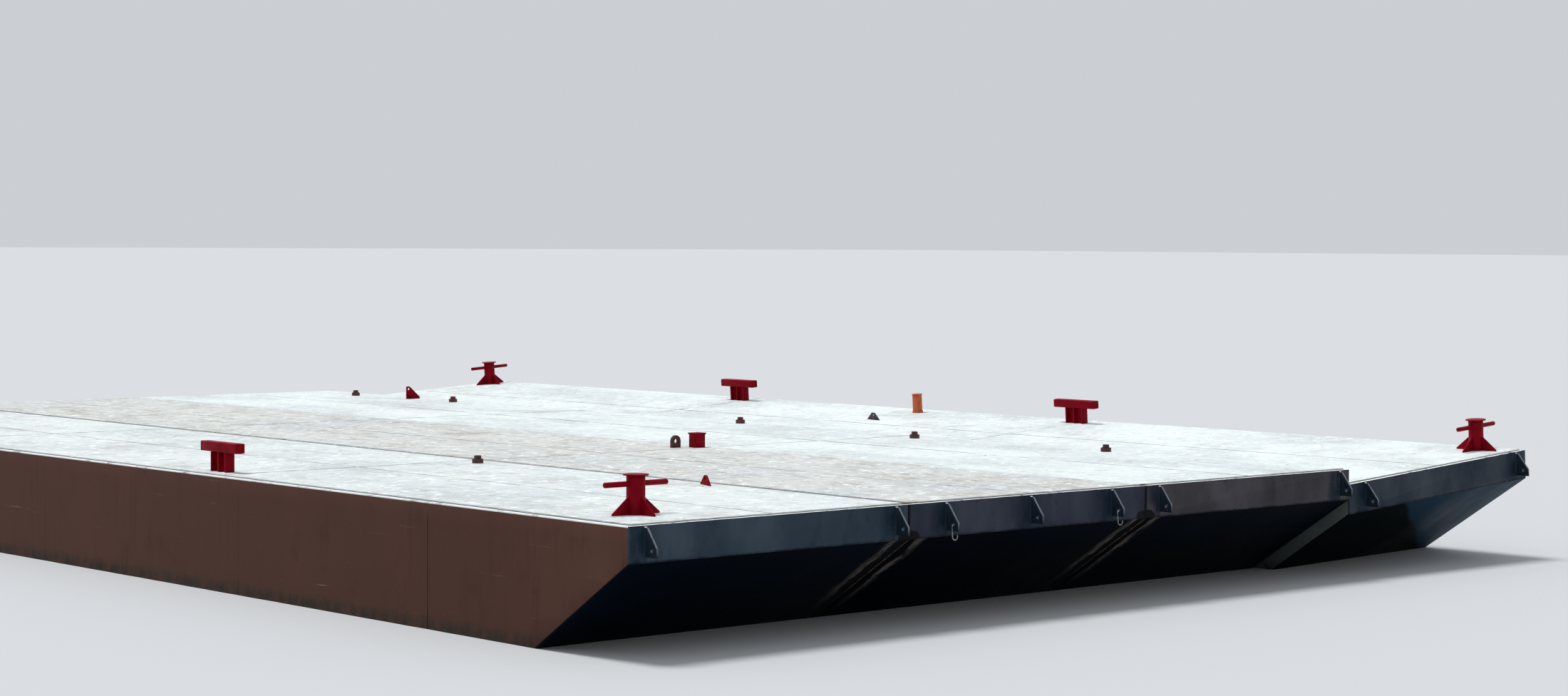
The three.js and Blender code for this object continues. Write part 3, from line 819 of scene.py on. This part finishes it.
def rod(radius, low, high, sides=48):
    """An upright round bar or pipe."""
    bpy.ops.object.select_all(action="DESELECT")
    bpy.ops.mesh.primitive_cylinder_add(vertices=sides, radius=radius, depth=high - low,
                                        location=(0, 0, (low + high) / 2))
    piece = bpy.context.object
    bpy.ops.object.transform_apply(location=True, rotation=True, scale=True)
    return piece


def ring_weld(radius, level, leg, sides=48):
    """The fillet round a round foot: a low cone."""
    bpy.ops.object.select_all(action="DESELECT")
    bpy.ops.mesh.primitive_cone_add(vertices=sides, radius1=radius + leg, radius2=radius,
                                    depth=leg, location=(0, 0, level + leg / 2))
    piece = bpy.context.object
    bpy.ops.object.transform_apply(location=True, rotation=True, scale=True)
    return piece


def turn(piece, angle, axis="Z"):
    """Turns a piece about an axis through the origin, baked in its mesh."""
    pick(piece)
    piece.matrix_world = Matrix.Rotation(math.radians(angle), 4, axis) @ piece.matrix_world
    bpy.ops.object.transform_apply(location=True, rotation=True, scale=True)
    return piece


def shift(piece, place):
    """Moves a piece by place, baked in its mesh."""
    pick(piece)
    piece.matrix_world = Matrix.Translation(place) @ piece.matrix_world
    bpy.ops.object.transform_apply(location=True, rotation=True, scale=True)
    return piece


def block(low, high):
    """A square bar or plate between two corners."""
    low, high = Vector(low), Vector(high)
    bpy.ops.object.select_all(action="DESELECT")
    bpy.ops.mesh.primitive_cube_add(size=1, location=(low + high) / 2, scale=high - low)
    piece = bpy.context.object
    bpy.ops.object.transform_apply(location=True, rotation=True, scale=True)
    return piece


def select_where(piece, keep, kind="VERT"):
    """Leaves the piece in edit mode, with only the vertices or faces selected that keep() takes."""
    pick(piece)
    bpy.ops.object.mode_set(mode="EDIT")
    bpy.ops.mesh.select_mode(type=kind)
    bpy.ops.mesh.select_all(action="DESELECT")
    bpy.ops.object.mode_set(mode="OBJECT")
    for item in piece.data.vertices if kind == "VERT" else piece.data.polygons:
        item.select = keep(item)
    bpy.ops.object.mode_set(mode="EDIT")


def gusset(angle, foot):
    """One triangular plate that braces the post: its outer top corner is drawn down to a toe,
    and its inner top corner out to the pipe's face."""
    half = GUSSET_PLATE / 2
    middle = foot + GUSSET_HEIGHT / 2
    plate = block((GUSSET_ROOT, -half, foot), (GUSSET_REACH, half, foot + GUSSET_HEIGHT))
    select_where(plate, lambda vertex: vertex.co.x > POST_RADIUS and vertex.co.z > middle)
    bpy.ops.transform.translate(value=(0, 0, GUSSET_TOE - GUSSET_HEIGHT))
    bpy.ops.object.mode_set(mode="OBJECT")
    select_where(plate, lambda vertex: vertex.co.x < POST_RADIUS and vertex.co.z > middle)
    bpy.ops.transform.translate(value=(POST_RADIUS - GUSSET_ROOT, 0, 0))
    bpy.ops.object.mode_set(mode="OBJECT")
    return turn(plate, angle)


red_paint = red_finish("mooring_red", 0.3, 0.5)
for corner, number in POSTS.items():
    low, high = section_box(f"mooring_post_{corner}", number)
    centre = (low + high) / 2
    foot, top = low.z, high.z
    pin_low, pin_high = section_box(f"mooring_post_pin_{corner}", number)
    pieces = [
        rod(POST_RADIUS, foot, top - CAP_PLATE / 2, sides=64),
        rod(CAP_RADIUS, top - CAP_PLATE, top, sides=64),
        ring_weld(POST_RADIUS, foot, POST_FILLET, sides=64),
    ]
    inner, outer = GUSSET_FILLET_ENDS
    for angle in (0, 90, 180, 270):
        pieces.append(gusset(angle, foot))
        fillet = bevel_block(Vector((inner, -GUSSET_PLATE / 2, foot)),
                             Vector((outer, GUSSET_PLATE / 2, foot + GUSSET_FILLET_HEIGHT)),
                             (0, 0, 1), GUSSET_FILLET)
        pieces.append(turn(fillet, angle))
    post = join_up(pieces, f"mooring_post_painted_{corner}")
    ease_edges(post, POST_EDGE)
    settle(shift(post, (centre.x, centre.y, 0)), number)
    fit_out(post, red_paint, "mooring_red", f"mooring_post_{corner}")
    reach = (pin_high.x - pin_low.x) / 2
    pin = turn(rod(PIN_RADIUS, -reach, reach, sides=32), 90, "Y")
    pin.name = f"cross_pin_{corner}"
    ease_edges(pin, PIN_EDGE, 3)
    settle(shift(pin, (centre.x, centre.y, (pin_low.z + pin_high.z) / 2)), number)
    fit_out(pin, red_paint, "mooring_red", f"mooring_post_pin_{corner}")

# T-head bollards
# A square hollow bar, closed by a plate at each end, lies across a stem of two flanges, a
# middle rib and a web, all welded to the deck plate and painted as the posts are.
FLANGE = 0.016
WEB = 0.014
WEB_INSET = 0.002                  # from the flanges' outer faces
STEM_FILLET = (0.004, 0.009)       # width and height
STEM_EDGE = 0.002
BAR_CORNER = 0.012
BAR_WALL = 0.006
END_SLOPE = 0.002
END_SINK = 0.005                   # how far in from the bar's end the end plate lies
END_AREA = 0.004                   # square metres: what is smaller is part of a rounded corner
BOLLARDS = {"left_1": 1, "left_2": 1, "right_1": 4, "right_2": 4}

for name, number in BOLLARDS.items():
    low, high = section_box(f"bollard_head_{name}", number)
    bar = block(low, high)
    ease_edges(bar, BAR_CORNER, 4)
    select_where(bar, lambda face: abs(face.normal.y) > 0.99 and face.area > END_AREA, "FACE")
    bpy.ops.mesh.inset(thickness=BAR_WALL, use_individual=True)
    bpy.ops.mesh.inset(thickness=END_SLOPE, depth=-END_SINK, use_individual=True)
    bpy.ops.object.mode_set(mode="OBJECT")
    settle(bar, number)
    bar.name = f"bollard_bar_{name}"
    fit_out(bar, red_paint, "mooring_red", f"bollard_head_{name}")

    low, high = section_box(f"bollard_stem_{name}", number)
    middle = (low + high) / 2
    plates = [block((middle.x - WEB / 2, low.y + WEB_INSET, low.z),
                    (middle.x + WEB / 2, high.y - WEB_INSET, high.z))]
    leg, height = STEM_FILLET
    for y in (low.y, middle.y - FLANGE / 2, high.y - FLANGE):
        plates.append(block((low.x, y, low.z), (high.x, y + FLANGE, high.z)))
        for foot, rise in ((low.z, 1), (high.z, -1)):
            level = sorted((foot, foot + rise * height))
            plates.append(bevel_block(Vector((low.x + leg, y, level[0])),
                                      Vector((high.x - leg, y + FLANGE, level[1])),
                                      (0, 0, rise), leg))
    stem = join_up(plates, f"bollard_foot_{name}")
    ease_edges(stem, STEM_EDGE)
    settle(stem, number)
    fit_out(stem, red_paint, "mooring_red", f"bollard_stem_{name}")

# Tank plugs
# A thick collar welded to the deck with a six-sided plug screwed into it, bare dark iron with
# a little red left on it.
IRON = (46, 33, 33)
IRON_PALE = (74, 60, 58)
OLD_PAINT = (112, 22, 30)
COLLAR_RADIUS = 0.056
COLLAR_HEIGHT = 0.042
COLLAR_FILLET = 0.002
PLUG_RADIUS = 0.036
PLUG_RIM = 0.006                   # the round shoulder under the six sides stands out this far
PLUG_RIM_HEIGHT = 0.005
PLUG_EDGE = 0.003
PLUGS = {"section_1": 1, "section_3_a": 3, "section_3_b": 3, "section_3_c": 3,
         "section_3_d": 3, "section_3_e": 3}


def iron_finish(name, base, pale, flecks, roughness, metal):
    """Bare metal from base to pale, with flecks of rust or of old paint."""
    material, tree, shader = new_finish(name, roughness, metal)
    points = tree.nodes.new("ShaderNodeTexCoord").outputs["Object"]
    cast = grain(tree, points, (1, 1, 1), 25, 6, 0.65)
    colour = over(tree, fade(tree, cast, 0.4, 0.7), display(*base), display(*pale))
    bloom = grain(tree, points, (1, 1, 1), 24, 4, 0.6, 3)
    colour = over(tree, fade(tree, bloom, 0.46, 0.58, 0, 0.8), colour, display(*flecks))
    tree.links.new(colour, shader.inputs["Base Color"])
    tree.links.new(fade(tree, cast, 0.3, 0.7, roughness - 0.12, roughness + 0.14),
                   shader.inputs["Roughness"])
    relief(tree, shader, grain(tree, points, (1, 1, 1), 160, 3, 0.6), 0.0012, 0.5)
    return material


dark_iron = iron_finish("plug_iron", IRON, IRON_PALE, OLD_PAINT, 0.6, 0.2)
for name, number in PLUGS.items():
    low, high = section_box(f"tank_plug_{name}", number)
    centre = (low + high) / 2
    shoulder = low.z + COLLAR_HEIGHT
    plug = join_up([
        rod(COLLAR_RADIUS, low.z, shoulder),
        ring_weld(COLLAR_RADIUS - COLLAR_FILLET, low.z, COLLAR_FILLET),
        rod(PLUG_RADIUS + PLUG_RIM, shoulder - 0.001, shoulder + PLUG_RIM_HEIGHT),
        rod(PLUG_RADIUS, shoulder, high.z, sides=6),
    ], f"screwed_plug_{name}")
    ease_edges(plug, PLUG_EDGE)
    settle(shift(plug, (centre.x, centre.y, 0)), number)
    fit_out(plug, dark_iron, "plug_steel", f"tank_plug_{name}")

# Pad-eyes, the ring eye and the short square post
# Flame-cut plates on edge, each with one hole, and a capped square post, welded to the deck.
# Two eyes and the post keep red paint. The ring eye and section 4's eye are bare and dark.
EYE_EDGE = 0.003

old_red = red_finish("old_red", 0.45, 0.85)
black_iron = iron_finish("eye_iron", BURNT, IRON, IRON_PALE, 0.6, 0.1)
EYES = {"pad_eye_section_1": old_red, "pad_eye_section_4": black_iron, "tall_pad_eye": old_red,
        "ring_pad_eye": dark_iron, "stub_post": red_paint}
for node, paint in EYES.items():
    eye = merged_copy(node, f"dressed_{node}")
    ease_edges(eye, EYE_EDGE)
    fit_out(eye, paint, "mooring_red", node)

# Standpipe
# A short length of orange pipe by the right side, with a ring at its foot and a lid whose rim
# stands a little proud.
ORANGE = (196, 92, 40)
ORANGE_DARK = (120, 46, 22)
FOOT_RING = (0.068, 0.000, 0.026)  # radius, lower and upper end
PIPE = (0.061, 0.020, 0.228)
LID = (0.066, 0.226, 0.240)
PIPE_EDGE = 0.003


def orange_finish():
    material, tree, shader = new_finish("pipe_primer", 0.55)
    points = tree.nodes.new("ShaderNodeTexCoord").outputs["Object"]
    wash = grain(tree, points, (1, 1, 0.4), 14, 5, 0.65)
    colour = over(tree, fade(tree, wash, 0.42, 0.75), display(*ORANGE), display(*ORANGE_DARK))
    tree.links.new(colour, shader.inputs["Base Color"])
    relief(tree, shader, grain(tree, points, (1, 1, 1), 70, 4, 0.6), 0.0012, 0.4)
    return material


low, high = section_box("standpipe", 4)
pipe = join_up([rod(radius, low.z + start, low.z + end, sides=64)
                for radius, start, end in (FOOT_RING, PIPE, LID)], "orange_pipe")
ease_edges(pipe, PIPE_EDGE)
settle(shift(pipe, ((low.x + high.x) / 2, (low.y + high.y) / 2, 0)), 4)
fit_out(pipe, orange_finish(), "pipe_orange", "standpipe")

# Hooks
# Two bent rods of dull galvanised steel that hang free in the lugs of the second section. Each
# is one round bar: it straddles the lug through its hole, and turns up in an open hook below.
ZINC = (150, 156, 160)
ZINC_DARK = (96, 98, 98)
HOOK_ROD = 0.0055
HOOK_EYE = 0.021
HOOK_BEND = 0.031
HOOK_DROP = 0.078
HOOK_SIDE = 0.014                  # the lower bend's centre lies this much to the right
UPPER_TURN = (-15, 190, 14)        # degrees from +X towards +Z, and the number of points
LOWER_TURN = (170, 378, 12)
HOOKS = {"left": LUGS[2][0], "right": LUGS[2][2]}
LUG_HOLE_Y = -0.090


def bend_points(centre_x, centre_z, radius, start, end, count):
    """Points round a bend, in the hook's own x and z."""
    angles = [math.radians(start + (end - start) * step / (count - 1)) for step in range(count)]
    return [(centre_x + radius * math.cos(angle), centre_z + radius * math.sin(angle))
            for angle in angles]


zinc = iron_finish("galvanised_hook", ZINC_DARK, ZINC, ZINC, 0.5, 0.8)
for side, lug_x in HOOKS.items():
    low, high = section_box(f"hook_{side}", 2)
    eye_z = high.z - HOOK_EYE - HOOK_ROD
    route = [*bend_points(0, 0, HOOK_EYE, *UPPER_TURN),
             *bend_points(HOOK_SIDE, -HOOK_DROP, HOOK_BEND, *LOWER_TURN)]
    curve = bpy.data.curves.new(f"hook_rod_{side}", "CURVE")
    curve.dimensions = "3D"
    curve.bevel_depth = HOOK_ROD
    curve.bevel_resolution = 4
    curve.resolution_u = 4
    curve.use_fill_caps = True
    spline = curve.splines.new("NURBS")
    spline.points.add(len(route) - 1)
    for point, (x, z) in zip(spline.points, route):
        point.co = (lug_x + x, LUG_HOLE_Y, eye_z + z, 1)
    spline.order_u = 4
    spline.use_endpoint_u = True
    hook = bpy.data.objects.new(f"hook_rod_{side}", curve)
    bpy.context.scene.collection.objects.link(hook)
    pick(hook)
    bpy.ops.object.convert(target="MESH")
    hook = bpy.context.object
    bpy.ops.object.mode_set(mode="EDIT")
    bpy.ops.mesh.select_all(action="SELECT")
    bpy.ops.mesh.remove_doubles(threshold=MERGE)
    bpy.ops.mesh.normals_make_consistent(inside=False)
    bpy.ops.object.mode_set(mode="OBJECT")
    smooth(hook, 60)
    settle(hook, 2)
    fit_out(hook, zinc, "hook_steel", f"hook_{side}", body=f"{side}_hook")
